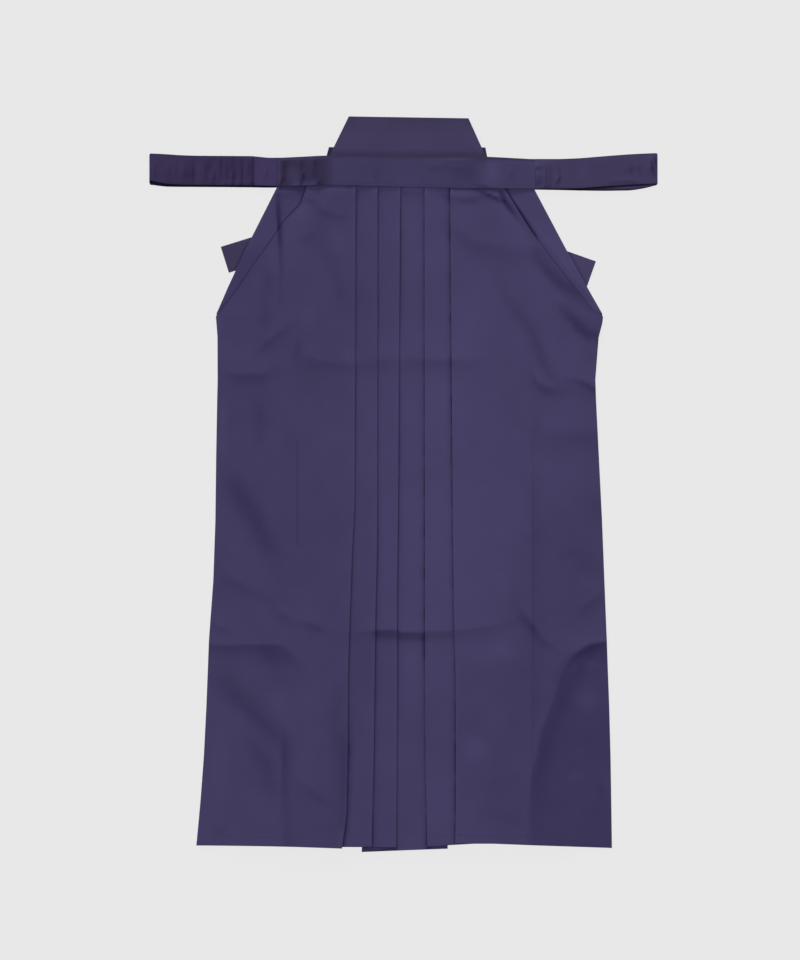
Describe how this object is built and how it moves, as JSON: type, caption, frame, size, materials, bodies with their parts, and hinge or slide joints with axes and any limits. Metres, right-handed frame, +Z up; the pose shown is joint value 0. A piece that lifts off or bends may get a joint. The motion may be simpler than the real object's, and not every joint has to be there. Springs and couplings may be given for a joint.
{
  "type": "pleated hakama trousers laid flat",
  "caption": "Wide pleated hakama trousers laid flat, front up, with side slits, stiff trapezoid back board, folded front waistband and tucked back ties.",
  "frame": {"origin": "middle of the laid-out garment, on the surface it lies on", "axes": "+Z up, the side with the front pleats; +Y from the hem to the waist; +X towards the wearer's left"},
  "size_m": [0.7014, 1.014, 0.0164],
  "materials": {
    "panel_cloth": "matte navy-purple plain weave, pressed",
    "tie_cloth": "matte navy-purple plain weave, doubled and stitched",
    "board_cloth": "matte navy-purple plain weave stretched over a stiff board"
  },
  "bodies": {
    "root": {"back_board": "board_cloth", "back_tie_right": "tie_cloth", "back_tie_left": "tie_cloth", "back_leg_right": "panel_cloth", "back_leg_left": "panel_cloth", "side_fold_right": "panel_cloth", "side_fold_left": "panel_cloth", "front_leg_right": "panel_cloth", "front_leg_left": "panel_cloth", "front_waistband": "tie_cloth", "front_tie_right": "tie_cloth", "front_tie_left": "tie_cloth"}
  },
  "joints": []
}
